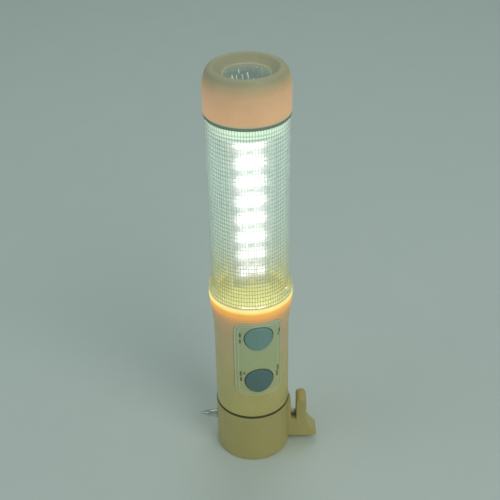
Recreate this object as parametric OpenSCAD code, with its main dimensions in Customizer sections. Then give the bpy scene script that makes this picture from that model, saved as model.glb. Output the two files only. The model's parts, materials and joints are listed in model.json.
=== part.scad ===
// LED safety flare: an upright hand lamp with a torch head, a clear warning-light tube, a handle
// with two push buttons, and a screw-on base cap that carries a glass hammer, a belt cutter and a
// magnet. Millimetres, +Z up, origin at the centre of the face it rests on.
// The hammer points to -X and the belt cutter to +X. The buttons face -Y, turned a little to +X.

/* [Base cap] */
// Outer radius of the base cap
cap_r = 20; // [19.8:0.1:20.4]
// Height of the base cap
cap_h = 30.3; // [30.1:0.1:30.7]
// Thickness of the hook that guards the belt cutter, across the object
hook_t = 10; // [8:0.5:11]
// Height of the hook's finger above the ground
hook_top = 30.5; // [29:0.5:32]
// Width of the slot that the belt slides into
slot_w = 3; // [2.6:0.1:3.4]
// How far the hammer's point reaches out from the axis
hammer_reach = 29.6; // [28:0.2:31]
// Turns that unscrew the cap until its thread lets go
unscrew_turns = 3.5; // [1:0.5:3.5]

/* [Handle] */
// Radius of the handle's straight lower part
handle_r = 19.6; // [19.5:0.1:19.8]
// Radius of the flared lip under the light tube
lip_r = 21.7; // [21.5:0.1:22]
// Height of the top of the lip
lip_z = 105; // [104.6:0.1:105.4]
// How far the switch side is turned from the front towards the belt cutter, in degrees
panel_turn = 11; // [0:1:20]
// Radius of each push button
button_r = 7.4; // [6.8:0.1:7.5]
// How far a push button travels
button_travel = 0.8; // [0.3:0.1:0.8]
// How far a push button stands out of its panel
button_proud = 0.9; // [0.8:0.1:1.2]

/* [Light tube] */
// Outer radius of the clear tube
tube_r = 20; // [19.9:0.1:20.2]
// Height of the top of the clear tube
tube_top = 201.7; // [201.5:0.1:202]
// Rows of lamps on the light board
lamp_rows = 8; // [4:1:8]
// Distance from one row of lamps to the next
lamp_pitch = 10.25; // [9:0.25:10.25]

/* [Torch head] */
// Radius of the head
head_r = 20.75; // [20.6:0.05:21]
// Overall height, to the crest of the head
crest_z = 225; // [224.5:0.1:226]
// Radius of the opening over the torch lens
eye_r = 10.9; // [10.5:0.1:11.2]

/* [Hidden] */
$fn = 72;

// Colours
peach = [0.98, 0.80, 0.58];
pale_panel = [0.86, 0.86, 0.70];
button_grey = [0.45, 0.58, 0.56];
black_rubber = [0.12, 0.13, 0.10];
clear = [0.86, 0.93, 0.88, 0.45];
white = [0.96, 0.96, 0.93];
steel = [0.72, 0.74, 0.74];
brass = [0.80, 0.65, 0.32];
board_green = [0.10, 0.36, 0.20];
dark = [0.13, 0.13, 0.14];

// Gaps
slack = 0.1;
joint_gap = 0.05;

// Base cap, from the floor up
floor_top = 6;
cap_bore_r = 16.2;
neck_z = 21;
thread_bore_r = 18.4;
edge_r = 1.2;
magnet_r = 11;
cup_r = 12.5;
cup_depth = 3.2;
magnet_h = cup_depth - 0.8;
pad_r = 12;
hook_x0 = cap_r + 1;
finger_w = 5.6;
finger_x0 = hook_x0 + slot_w;
finger_x1 = finger_x0 + finger_w;
foot_x1 = finger_x1 + 5.8;
foot_z = 3.5;
slot_z = 15.6;
blade_t = 0.5;
hammer_z = 17.5;
hammer_r = 2;

// Screw thread between the handle's neck and the base cap
thread_pitch = 2.5;
thread_z = cap_h - 8.3;
neck_r = 17.2;
neck_bore_r = 15.9;
male_crest_r = 18.1;
female_crest_r = 17.5;
thread_step = 10;

// Seal under the handle, on a seat a little wider than the thread that it slides over
seal_r = 19.9;
seal_bore_r = male_crest_r + 0.3;
seal_seat_r = seal_bore_r - 0.2;
seal_z = cap_h + joint_gap;
handle_z = cap_h + 1.4;

// Handle
handle_bore_r = 17.6;
flare_z = 78;
flare_h = 26;
lip_round = 0.9;
seat_z = 98.5;
seat_r = 19.5;
panel_z0 = 47;
panel_z1 = 95;
panel_half_w = 12.5;
panel_corner = 5;
panel_proud = 0.25;
panel_t = 1.2;
button_z_upper = 85;
button_z_lower = 57;
flange_r = 8.6;
flange_y = 15.3;
flange_t = 1;
well_r = 8.9;
well_y = 12;
button_gap = 0.4;
// Depth in front of the axis that is beyond every outer face
reach_y = 25;

// Switch board, behind the buttons
board_y = 11;
board_t = 1.2;
board_z0 = 42;
board_z1 = 96;
board_half_w = 10;
switch_w = 6;
switch_h = 2;
stem_r = 1.7;
screw_z = [44.5, 72];
screw_post_r = 2.6;
screw_head_r = 2.2;
screw_head_t = 1.4;
screw_r = 0.9;
// The leads stop just behind the board
lead_end_y = board_y - 0.2;

// Three cells in a cartridge, set back a little to clear the switch board
cell_r = 6.95;
cell_gap = 14;
cell_len = 49.5;
nub_len = 1;
cell_shift = 0.5;
pack_z = 12;
plate_t = 1.6;
plate_r = 15.2;
contact_t = 0.4;
cell_spring_h = 2.6;
pack_inner_z = pack_z + plate_t;
pack_inner_h = contact_t + cell_spring_h + cell_len + nub_len + contact_t;
pack_top = pack_inner_z + pack_inner_h + plate_t;
bulkhead_z = 75;
bulkhead_t = 2.5;
centre_spring_r = 2.2;
outer_spring_r = 7.3;
battery_lead_x = [-1.6, 6];
lead_r = 0.6;

// Light board inside the tube
tube_bore_r = 18.6;
spigot_z = 100.5;
skirt_h = 14;
flange_h = 2.2;
spine_front = 1.8;
light_board_t = 1.6;
lamp_size = 5;
lamp_h = 1.6;
lamp_x = 4.2;
light_mid_z = 152.5;
light_board_z0 = 107;
light_board_z1 = 195.4;
top_plate_z = 195.5;
spine_screw_z = [light_board_z0 + 3, light_board_z1 - 2.2];
spine_half_w = 10;
spine_wall_t = 2.4;

// Torch head
ring_h = 1.6;
head_z = tube_top + ring_h;
shoulder_z = 214.5;
crest_r = 16.5;
eye_z = 221.7;
lens_top = 220.7;
lens_t = 1.6;
lens_r = 12.6;
mouth_z = 218.6;
throat_r = 3;
dish_depth = 12.6;
torch_board_z = 204.4;
torch_lead_x = [-2, 2];
torch_lead_back = 4.5;

// ---- shared shapes ----

module ring(r_out, r_in, z0, z1) {
    difference() {
        translate([0, 0, z0]) cylinder(h = z1 - z0, r = r_out);
        translate([0, 0, z0 - 1]) cylinder(h = z1 - z0 + 2, r = r_in);
    }
}

module disc(r, z0, z1) {
    translate([0, 0, z0]) cylinder(h = z1 - z0, r = r);
}

// Turns what faces the front to the switch side
module facing() {
    rotate([0, 0, panel_turn]) children();
}

// A rod along the way a button moves, between two depths in front of the axis
module rod(r, y0, y1, z) {
    translate([0, -y0, z]) rotate([90, 0, 0]) cylinder(h = y1 - y0, r = r);
}

// A rod along X
module cross_rod(r, x0, x1, z) {
    translate([x0, 0, z]) rotate([0, 90, 0]) cylinder(h = x1 - x0, r = r);
}

// A block in front of the axis, between two depths
module slab(half_w, y0, y1, z0, z1) {
    translate([-half_w, -y1, z0]) cube([2 * half_w, y1 - y0, z1 - z0]);
}

// Rounded upright rectangle, as a prism that reaches out to the front
module front_prism(half_w, z0, z1, corner) {
    rotate([90, 0, 0]) linear_extrude(height = 40) {
        translate([-half_w + corner, z0]) square([2 * (half_w - corner), z1 - z0]);
        translate([-half_w, z0 + corner]) square([2 * half_w, z1 - z0 - 2 * corner]);
        for (x = [-half_w + corner, half_w - corner])
            for (z = [z0 + corner, z1 - corner])
                translate([x, z]) circle(r = corner);
    }
}

// Round ramp from 0 to 1
function ramp(t) = (1 - cos(180 * max(0, min(1, t)))) / 2;

// Tube swept along points; every ring has the same number of sides
function unit(v) = v / norm(v);
function heading(path, i) =
    unit(path[min(i + 1, len(path) - 1)] - path[max(i - 1, 0)]);
function side_of(d) = unit(cross(abs(d[2]) < 0.8 ? [0, 0, 1] : [0, 1, 0], d));

module swept_tube(path, r, sides = 8) {
    points = [
        for (i = [0 : len(path) - 1])
            let (d = heading(path, i), u = side_of(d), v = cross(d, u))
            for (k = [0 : sides - 1])
                path[i] + r * (cos(360 * k / sides) * u + sin(360 * k / sides) * v)
    ];
    last = (len(path) - 1) * sides;
    walls = [
        for (i = [0 : len(path) - 2])
            for (k = [0 : sides - 1])
                let (n = (k + 1) % sides)
                [i * sides + k, i * sides + n, (i + 1) * sides + n, (i + 1) * sides + k]
    ];
    start = [[for (k = [sides - 1 : -1 : 0]) k]];
    finish = [[for (k = [0 : sides - 1]) last + k]];
    // Each wall is listed so that it reads clockwise from outside
    polyhedron(points, [for (f = concat(walls, start, finish)) [for (j = [len(f) - 1 : -1 : 0]) f[j]]]);
}

// A smooth path through a few chosen points
function catmull(a, b, c, d, t) =
    0.5 * ((2 * b) + (c - a) * t + (2 * a - 5 * b + 4 * c - d) * t * t
        + (3 * b - a - 3 * c + d) * t * t * t);
function smooth(p, steps) = concat(
    [for (i = [0 : len(p) - 2]) for (s = [0 : steps - 1])
        catmull(p[max(i - 1, 0)], p[i], p[i + 1], p[min(i + 2, len(p) - 1)], s / steps)],
    [p[len(p) - 1]]);

// Coil spring between two heights, with a radius at each end
module coil(z0, z1, r0, r1, wire_r, turns) {
    steps = ceil(turns * 16);
    h = z1 - z0 - 2 * wire_r;
    swept_tube([for (i = [0 : steps])
        let (t = i / steps, a = 360 * turns * t, r = r0 + (r1 - r0) * t)
        [r * cos(a), r * sin(a), z0 + wire_r + h * t]], wire_r, 6);
}

// ---- base cap ----

// Helical ridge with a wide root and a narrow crest, fading at both ends
module thread_ridge(root_r, crest_r, z, deg0, deg1) {
    root_w = 1.1;
    tip_w = 0.6;
    fade = 45;
    steps = round((deg1 - deg0) / thread_step);
    points = [
        for (i = [0 : steps])
            let (a = deg0 + i * thread_step,
                full = max(0.3, min(1, (a - deg0) / fade, (deg1 - a) / fade)),
                c = root_r + (crest_r - root_r) * full,
                h = z + thread_pitch * a / 360)
            for (q = [[root_r, -root_w / 2], [c, -tip_w / 2], [c, tip_w / 2], [root_r, root_w / 2]])
                [q[0] * cos(a), q[0] * sin(a), h + q[1]]
    ];
    out = crest_r > root_r;
    walls = [
        for (i = [0 : steps - 1])
            for (k = [0 : 3])
                let (n = (k + 1) % 4)
                [4 * i + k, 4 * i + n, 4 * i + 4 + n, 4 * i + 4 + k]
    ];
    faces = concat(walls, [[3, 2, 1, 0]], [[for (k = [0 : 3]) 4 * steps + k]]);
    polyhedron(points, out ? faces : [for (f = faces) [for (j = [3 : -1 : 0]) f[j]]]);
}

// Side outline of the hook: foot, flared heel, finger, slot, and the rib along the cap
module hook_outline() {
    flare_r = 12.3;
    flare_top = 17.5;
    heel_z = 7.6;
    sweep_deg = asin((flare_top - heel_z) / flare_r);
    tip_r = 2.6;
    toe_r = 1.6;
    polygon(concat(
        [[cap_r - 2, foot_z]],
        [for (a = [-90 : 15 : 0]) [foot_x1 - toe_r + toe_r * cos(a), foot_z + toe_r + toe_r * sin(a)]],
        [for (a = [0 : 30 : 90])
            [foot_x1 - toe_r + toe_r * cos(a), heel_z - toe_r + toe_r * sin(a)]],
        [for (i = [6 : -1 : 0])
            let (a = 180 + sweep_deg * i / 6)
            [finger_x1 + flare_r + flare_r * cos(a), flare_top + flare_r * sin(a)]],
        [for (a = [0 : 15 : 90])
            [finger_x1 - tip_r + tip_r * cos(a), hook_top - tip_r + tip_r * sin(a)]],
        [for (a = [90 : 15 : 180])
            [finger_x0 + tip_r + tip_r * cos(a), hook_top - tip_r + tip_r * sin(a)]],
        [[finger_x0, slot_z], [hook_x0, slot_z], [hook_x0, hook_top - 4]],
        [[cap_r - 1, hook_top - 2.5], [cap_r - 1, neck_z], [cap_r - 2, neck_z]]
    ));
}

// Outline of the blade; its slanting edge crosses the slot
module blade_outline(grow = 0) {
    polygon([
        [cap_r - 0.8 - grow, 9 - grow],
        [finger_x0 + 2.6 + grow, 9 - grow],
        [finger_x0 + 2.6 + grow, slot_z + 1.4 + grow],
        [finger_x0 - 0.2, slot_z + 2.4 + grow],
        [hook_x0 + 0.2, slot_z + 5.4 + grow],
        [cap_r - 0.8 - grow, slot_z + 5.4 + grow]
    ]);
}

module upright(t) {
    rotate([90, 0, 0]) translate([0, 0, -t / 2]) linear_extrude(height = t) children();
}

module base_cap() {
    color(peach) difference() {
        union() {
            rotate_extrude() polygon(concat(
                [[0, 0], [cap_r - edge_r, 0]],
                [for (a = [-75 : 15 : 0]) [cap_r - edge_r + edge_r * cos(a), edge_r + edge_r * sin(a)]],
                [[cap_r, cap_h - 0.4], [cap_r - 0.4, cap_h], [thread_bore_r, cap_h]],
                [[thread_bore_r, neck_z - 0.5], [cap_bore_r, neck_z - 0.5]],
                [[cap_bore_r, floor_top], [0, floor_top]]
            ));
            upright(hook_t) hook_outline();
            thread_ridge(thread_bore_r + 0.3, female_crest_r, thread_z + thread_pitch / 2, 90, 900);
        }
        disc(cup_r + joint_gap, -1, cup_depth);
        upright(blade_t + 0.2) blade_outline(0.1);
        mirror([1, 0, 0]) cross_rod(hammer_r + joint_gap, cap_bore_r - 1, cap_r + 1, hammer_z);
    }
}

module hammer_tip() {
    point_r = 0.5;
    shank_end = cap_r + 5;
    shoulder_w = 1.4;
    color(steel) translate([0, 0, hammer_z]) rotate([0, -90, 0]) rotate_extrude() polygon([
        [0, cap_bore_r + 0.3],
        [hammer_r, cap_bore_r + 0.3],
        [hammer_r, cap_r + 0.1],
        [hammer_r + 0.5, cap_r + 0.1],
        [hammer_r + 0.5, cap_r + shoulder_w],
        [hammer_r, cap_r + shoulder_w + 0.3],
        [hammer_r, shank_end],
        [point_r, hammer_reach - 0.2],
        [point_r / 2, hammer_reach],
        [0, hammer_reach]
    ]);
}

module cutter_blade() {
    color(steel) upright(blade_t) blade_outline();
}

module magnet_cup() {
    color(steel) difference() {
        disc(cup_r, 0, cup_depth);
        disc(magnet_r + 0.2, -1, magnet_h);
    }
}

module base_magnet() {
    color(dark) disc(magnet_r, 0, magnet_h);
}

// Foam disc that keeps the cartridge from rattling
module cap_pad() {
    color(dark) disc(pad_r, floor_top, pack_z - 0.3);
}

module cap_seal_ring() {
    color(black_rubber) ring(seal_r, seal_bore_r, seal_z, handle_z - joint_gap);
}

// ---- handle ----

function handle_radius(z) =
    handle_r + (lip_r - handle_r) * pow(ramp((z - flare_z) / flare_h), 1.3);
flare_steps = [for (i = [0 : 10]) flare_z + (flare_h - 1) * i / 10];

// Solid of the handle's outside, grown outwards by a given amount
module handle_form(grow = 0) {
    rotate_extrude() polygon(concat(
        [[0, handle_z]],
        [[handle_r + grow, handle_z]],
        [for (z = flare_steps) [handle_radius(z) + grow, z]],
        [for (a = [0 : 30 : 90])
            [lip_r + grow - lip_round + lip_round * cos(a), lip_z - lip_round + lip_round * sin(a)]],
        [[0, lip_z]]
    ));
}

module handle_shell() {
    ledge_z = bulkhead_z + bulkhead_t;
    color(peach) difference() {
        union() {
            difference() {
                handle_form();
                disc(handle_bore_r, handle_z + 5, seat_z + 1);
                disc(seat_r, seat_z, lip_z + 1);
            }
            disc(neck_r, neck_z, handle_z + 1);
            disc(seal_seat_r, cap_h, handle_z + 1);
            thread_ridge(neck_r - 0.3, male_crest_r, thread_z, 0, 810);
            ring(handle_bore_r + 0.5, handle_bore_r - 0.7, ledge_z, ledge_z + 1);
            facing() for (z = screw_z) rod(screw_post_r, board_y + board_t, handle_bore_r + 0.5, z);
        }
        disc(neck_bore_r, neck_z - 1, handle_z + 6);
        facing() {
            for (z = [button_z_lower, button_z_upper]) rod(well_r, well_y, reach_y, z);
            for (z = screw_z) rod(screw_r, board_y, handle_bore_r - 0.6, z);
            difference() {
                front_prism(panel_half_w + slack, panel_z0 - slack, panel_z1 + slack, panel_corner + slack);
                handle_form(panel_proud - panel_t - joint_gap);
            }
        }
    }
}

module switch_panel() {
    color(pale_panel) facing() difference() {
        intersection() {
            front_prism(panel_half_w, panel_z0, panel_z1, panel_corner);
            difference() {
                handle_form(panel_proud);
                handle_form(panel_proud - panel_t);
            }
        }
        for (z = [button_z_lower, button_z_upper]) rod(button_r + button_gap, well_y, reach_y, z);
    }
}

// Cap that follows the handle's outside, on a flange that holds it behind the panel
module push_button(z) {
    color(button_grey) facing() {
        intersection() {
            rod(button_r, flange_y, reach_y, z);
            handle_form(panel_proud + button_proud);
        }
        rod(flange_r, flange_y, flange_y + flange_t, z);
        rod(stem_r, flange_y - 0.3, flange_y, z);
    }
}

module button_upper() {
    push_button(button_z_upper);
}

module button_lower() {
    push_button(button_z_lower);
}

// Plunger of a push switch, which the button drives
module switch_stem(z) {
    foot_y = board_y + board_t + button_travel + 0.1;
    color(dark) facing() rod(stem_r, foot_y, flange_y - 0.3, z);
}

module switch_stem_upper() {
    switch_stem(button_z_upper);
}

module switch_stem_lower() {
    switch_stem(button_z_lower);
}

module switch_bodies() {
    front = board_y + board_t;
    color(steel) facing() for (z = [button_z_lower, button_z_upper]) difference() {
        slab(switch_w / 2, front, front + switch_h, z - switch_w / 2, z + switch_w / 2);
        rod(stem_r + joint_gap, front - 1, front + switch_h + 1, z);
    }
}

module switch_board() {
    color(board_green) facing() difference() {
        slab(board_half_w, board_y, board_y + board_t, board_z0, board_z1);
        for (z = screw_z) rod(screw_r + 0.4, board_y - 1, board_y + board_t + 1, z);
    }
}

module switch_board_screws() {
    color(steel) facing() for (z = screw_z) {
        rod(screw_head_r, board_y - screw_head_t, board_y, z);
        rod(screw_r, board_y, board_y + board_t + 3, z);
    }
}

module driver_chip() {
    chip_w = 5;
    chip_t = 1.6;
    chip_z = 86;
    color(dark) facing() slab(chip_w / 2, board_y - chip_t, board_y, chip_z, chip_z + 4);
}

// Stands on the board's back, beside the leads
module driver_capacitor() {
    can_r = 2.5;
    color(dark) facing() translate([-6.5, can_r + slack - board_y, 80]) cylinder(h = 7, r = can_r);
}

// ---- battery cartridge ----

// Angles of the three cells round the cartridge's middle; the first is at the back
cell_turns = [90, 210, 330];

module around_pack() {
    facing() translate([0, cell_shift, 0]) children();
}

module at_cell(i) {
    around_pack() rotate([0, 0, cell_turns[i]]) translate([cell_gap / sqrt(3), 0, 0]) children();
}

// Cell 1 stands upside down, so that the three are in series
function upside(i) = i == 0;
function spring_z(i) = upside(i) ? pack_top - plate_t - contact_t - cell_spring_h : pack_inner_z + contact_t;

module battery_cell(i) {
    base = pack_inner_z + contact_t;
    color([0.22, 0.25, 0.30]) at_cell(i) translate([0, 0, base + (upside(i) ? 0 : cell_spring_h)]) {
        translate([0, 0, upside(i) ? nub_len : 0]) cylinder(h = cell_len, r = cell_r);
        translate([0, 0, upside(i) ? 0 : cell_len]) cylinder(h = nub_len, r = 2.6);
    }
}

module battery_cell_1() {
    battery_cell(0);
}

module battery_cell_2() {
    battery_cell(1);
}

module battery_cell_3() {
    battery_cell(2);
}

// Two plates, cut back to pass the switch board and notched to pass its screws
module battery_cartridge() {
    upright_x = 8.5;
    upright_w = 3;
    upright_t = 1;
    notch_y = board_y - screw_head_t - 0.6;
    color(dark) {
        difference() {
            around_pack() {
                disc(plate_r, pack_z, pack_inner_z);
                disc(plate_r, pack_top - plate_t, pack_top);
            }
            facing() {
                slab(plate_r, board_y - 0.4, reach_y, pack_z - 1, pack_top + 1);
                slab(screw_head_r + 0.6, notch_y, reach_y, pack_z - 1, pack_top + 1);
            }
        }
        // One upright outside each gap between two cells
        around_pack() for (a = cell_turns) rotate([0, 0, a + 180])
            translate([upright_x, -upright_w / 2, pack_z]) cube([upright_t, upright_w, pack_top - pack_z]);
    }
}

// Small coils under the cells' flat ends
module cell_springs() {
    color(steel) for (i = [0 : 2]) at_cell(i)
        coil(spring_z(i), spring_z(i) + cell_spring_h - joint_gap, 3.6, 2.4, 0.35, 2);
}

module cell_contacts() {
    color(brass) for (i = [0 : 2]) at_cell(i) {
        disc(4.5, pack_inner_z, pack_inner_z + contact_t);
        disc(4.5, pack_top - plate_t - contact_t, pack_top - plate_t);
    }
}

// Centre disc and outer ring on top of the cartridge
module cartridge_terminals() {
    color(brass) facing() {
        disc(centre_spring_r + 0.8, pack_top, pack_top + contact_t);
        ring(outer_spring_r + 1.3, outer_spring_r - 1.3, pack_top, pack_top + contact_t);
    }
}

module chamber_bulkhead() {
    color(white) facing() difference() {
        disc(handle_bore_r - 0.2, bulkhead_z, bulkhead_z + bulkhead_t);
        slab(handle_bore_r, board_y - 0.2, reach_y, bulkhead_z - 1, bulkhead_z + bulkhead_t + 1);
        for (x = battery_lead_x) translate([x, 0, 0])
            disc(lead_r + 0.3, bulkhead_z - 1, bulkhead_z + bulkhead_t + 1);
    }
}

module contact_springs() {
    top = bulkhead_z;
    color(steel) facing() {
        coil(pack_top + contact_t, top, centre_spring_r, centre_spring_r, 0.35, 4);
        coil(pack_top + contact_t, top, outer_spring_r, outer_spring_r, 0.4, 2.5);
    }
}

// Two leads from the contact springs to the switch board
module battery_leads() {
    color([0.6, 0.1, 0.1]) facing() for (x = battery_lead_x)
        swept_tube(smooth([[x, 0, bulkhead_z + 0.4], [x, 0, 78], [x * 0.9, -3, 81.5],
            [x * 0.7, -7, 83], [x * 0.5, -lead_end_y, 83.6]], 4), lead_r);
}

// ---- light tube ----

module lower_bulkhead() {
    color(white) facing() difference() {
        disc(seat_r - 0.2, seat_z, spigot_z);
        for (x = torch_lead_x) translate([x, torch_lead_back, 0])
            disc(lead_r + 0.5, seat_z - 1, spigot_z + 1);
    }
}

function skirt_radius(z) =
    tube_r + (lip_r - 0.05 - tube_r) * pow(1 - ramp((z - lip_z) / skirt_h), 2.2);

module light_tube() {
    flange_r = tube_r + 0.5;
    color(clear) rotate_extrude() polygon(concat(
        [[tube_bore_r, spigot_z], [seat_r - slack, spigot_z], [seat_r - slack, lip_z]],
        [for (i = [0 : 12]) [skirt_radius(lip_z + skirt_h * i / 12), lip_z + skirt_h * i / 12]],
        [[tube_r, tube_top - flange_h - 0.5], [flange_r, tube_top - flange_h]],
        [[flange_r, tube_top], [tube_bore_r, tube_top]]
    ));
}

module led_board() {
    color(white) facing() difference() {
        slab(9, spine_front, spine_front + light_board_t, light_board_z0, light_board_z1);
        for (z = spine_screw_z) rod(screw_r + 0.4, spine_front - 1, spine_front + light_board_t + 1, z);
    }
}

function row_z(i) = light_mid_z + (i - (lamp_rows - 1) / 2) * lamp_pitch;

// Two columns of flat square lamps
module led_lamps() {
    y0 = spine_front + light_board_t;
    color([1, 1, 0.92]) facing() for (i = [0 : lamp_rows - 1]) for (x = [-lamp_x, lamp_x])
        translate([x, 0, 0])
            slab(lamp_size / 2, y0, y0 + lamp_h, row_z(i) - lamp_size / 2, row_z(i) + lamp_size / 2);
}

module led_resistors() {
    y0 = spine_front + light_board_t;
    color(dark) facing() for (i = [0 : lamp_rows - 2])
        let (z = row_z(i) + lamp_pitch / 2)
        slab(1.2, y0, y0 + 0.6, z - 0.7, z + 0.7);
}

// White channel that holds the light board between the two bulkheads
module board_spine() {
    color(white) facing() difference() {
        union() {
            slab(spine_half_w, spine_front - spine_wall_t, spine_front, spigot_z, top_plate_z);
            for (side = [-1, 1]) translate([side * (spine_half_w - 0.8), 0, 0])
                slab(0.8, -5, spine_front - spine_wall_t, spigot_z, top_plate_z);
        }
        for (z = spine_screw_z) rod(screw_r + joint_gap, -1, spine_front + 1, z);
    }
}

module spine_screws() {
    y0 = spine_front + light_board_t;
    color(steel) facing() for (z = spine_screw_z) {
        rod(screw_head_r, y0, y0 + 1.2, z);
        rod(screw_r, spine_front - 2, y0, z);
    }
}

module upper_bulkhead() {
    color(white) facing() difference() {
        disc(tube_bore_r - 0.15, top_plate_z, top_plate_z + 2);
        for (x = torch_lead_x) translate([x, torch_lead_back, 0])
            disc(lead_r + 0.5, top_plate_z - 1, top_plate_z + 3);
    }
}

// Two leads from the switch board, behind the spine, up to the torch lamp
module torch_leads() {
    back = torch_lead_back;
    color([0.1, 0.1, 0.1]) facing() for (x = torch_lead_x)
        swept_tube(smooth([[x, -lead_end_y, 92], [x, -8, 92.5], [x, -1, 94], [x, 3.6, 96], [x, back, 99],
            [x, back, 130], [x, back, 160], [x, back, 190], [x, back, 198], [x, back - 0.3, 201],
            [x, back - 0.5, torch_board_z - slack]], 3), lead_r);
}

// ---- torch head ----

module head_seal_ring() {
    color(black_rubber) ring(head_r - 0.05, tube_bore_r + 0.1, tube_top, head_z);
}

module head_shell() {
    spigot_r = tube_bore_r - 0.15;
    wall_r = head_r - 1.85;
    crown_r = 1.4;
    color(peach) rotate_extrude() polygon(concat(
        [[spigot_r - 1.6, top_plate_z + 2.1], [spigot_r, top_plate_z + 2.1], [spigot_r, head_z]],
        [[head_r, head_z]],
        [for (a = [0 : 10 : 70])
            [crest_r + (head_r - crest_r) * cos(a), shoulder_z + (crest_z - shoulder_z) * sin(a)]],
        [for (a = [70 : 20 : 110])
            [crest_r - 0.2 + crown_r * cos(a), crest_z - crown_r + crown_r * sin(a)]],
        [[eye_r + 0.4, eye_z], [eye_r, eye_z - 0.3], [eye_r, lens_top], [lens_r + slack, lens_top]],
        [[lens_r + slack, mouth_z], [13.7, mouth_z], [13.7, torch_board_z + 1.6]],
        [[15, torch_board_z + 1.6], [15, 217.5], [17, 219], [18.2, 216.5], [wall_r, 212]],
        [[wall_r, head_z + 2], [spigot_r - 1.6, head_z + 2]]
    ));
}

// Deep dish with a parabola inside, and a flange that the lens rests on
module reflector() {
    focus = (eye_r * eye_r - throat_r * throat_r) / 4 / dish_depth;
    apex_z = mouth_z - eye_r * eye_r / 4 / focus;
    radii = [for (i = [0 : 10]) throat_r + (eye_r - throat_r) * i / 10];
    skin = 0.9;
    color(steel) rotate_extrude() polygon(concat(
        [for (r = radii) [r, apex_z + r * r / 4 / focus]],
        [[13.4, mouth_z], [13.4, mouth_z - 1]],
        [for (i = [9 : -1 : 0]) [radii[i] + skin, apex_z + radii[i] * radii[i] / 4 / focus]]
    ));
}

module lens_seal() {
    color(black_rubber) ring(lens_r - 0.1, eye_r + 0.3, mouth_z, lens_top - lens_t);
}

module torch_lens() {
    color(clear) disc(lens_r, lens_top - lens_t, lens_top);
}

module torch_board() {
    color(board_green) disc(15.4, torch_board_z, torch_board_z + 1.6);
}

module torch_led() {
    top = torch_board_z + 1.6;
    color([1, 0.96, 0.6]) {
        translate([-1.7, -1.7, top]) cube([3.4, 3.4, 0.9]);
        intersection() {
            translate([0, 0, top + 0.9]) sphere(r = 1.5);
            disc(2, top + 0.5, top + 3);
        }
    }
}

base_cap();
hammer_tip();
cutter_blade();
magnet_cup();
base_magnet();
cap_pad();
cap_seal_ring();
handle_shell();
switch_panel();
button_upper();
button_lower();
switch_stem_upper();
switch_stem_lower();
switch_bodies();
switch_board();
switch_board_screws();
driver_chip();
driver_capacitor();
battery_cartridge();
battery_cell_1();
battery_cell_2();
battery_cell_3();
cell_springs();
cell_contacts();
cartridge_terminals();
chamber_bulkhead();
contact_springs();
battery_leads();
lower_bulkhead();
light_tube();
led_board();
led_lamps();
led_resistors();
board_spine();
spine_screws();
upper_bulkhead();
torch_leads();
head_seal_ring();
head_shell();
reflector();
lens_seal();
torch_lens();
torch_board();
torch_led();
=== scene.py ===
"""LED safety flare, switched on: torch head, ribbed light tube, handle with two buttons, and a base cap
with a glass hammer and a belt cutter. Lengths are in millimetres until a mesh is made."""

import json
import math

import bmesh
import bpy
from mathutils import Matrix, Vector
from mathutils.geometry import tessellate_polygon


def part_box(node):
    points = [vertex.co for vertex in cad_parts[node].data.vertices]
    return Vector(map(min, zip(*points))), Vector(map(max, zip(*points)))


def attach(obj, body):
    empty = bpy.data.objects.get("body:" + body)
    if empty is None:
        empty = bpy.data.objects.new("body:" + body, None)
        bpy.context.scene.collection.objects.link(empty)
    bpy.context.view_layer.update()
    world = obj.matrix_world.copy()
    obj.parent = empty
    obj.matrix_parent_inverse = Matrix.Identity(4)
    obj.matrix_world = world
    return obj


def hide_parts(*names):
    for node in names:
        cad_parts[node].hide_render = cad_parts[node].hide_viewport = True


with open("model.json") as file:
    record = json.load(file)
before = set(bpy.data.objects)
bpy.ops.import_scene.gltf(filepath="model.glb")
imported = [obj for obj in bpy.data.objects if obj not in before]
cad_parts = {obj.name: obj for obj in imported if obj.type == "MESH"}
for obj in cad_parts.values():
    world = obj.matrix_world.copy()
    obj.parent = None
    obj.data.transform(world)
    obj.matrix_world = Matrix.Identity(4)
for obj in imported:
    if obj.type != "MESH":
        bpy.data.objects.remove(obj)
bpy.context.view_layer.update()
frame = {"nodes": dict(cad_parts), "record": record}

MM = 0.001


# ---------------------------------------------------------------- sizes, from the frame

def low(node):
    """Lowest corner of a CAD node, in millimetres."""
    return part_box(node)[0] / MM


def high(node):
    """Highest corner of a CAD node, in millimetres."""
    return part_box(node)[1] / MM


cap_r = -low("base_cap").x
cap_top = high("base_cap").z
hook_end = high("base_cap").x
hammer_end = -low("hammer_tip").x
seal_r = high("cap_seal_ring").x
seal_z0 = low("cap_seal_ring").z
seal_z1 = high("cap_seal_ring").z
neck_z = low("handle_shell").z
lip_r = high("handle_shell").y
lip_z = high("handle_shell").z
panel_z0 = low("switch_panel").z
panel_z1 = high("switch_panel").z
tube_z0 = low("light_tube").z
tube_z1 = high("light_tube").z
head_z0 = low("head_shell").z
head_r = high("head_shell").x
crest_z = high("head_shell").z
ring_z0 = low("head_seal_ring").z
ring_z1 = high("head_seal_ring").z
ring_r = high("head_seal_ring").x
lens_z0 = low("torch_lens").z
lens_z1 = high("torch_lens").z
lens_r = high("torch_lens").x
dish_z0 = low("reflector").z
dish_z1 = high("reflector").z

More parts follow.
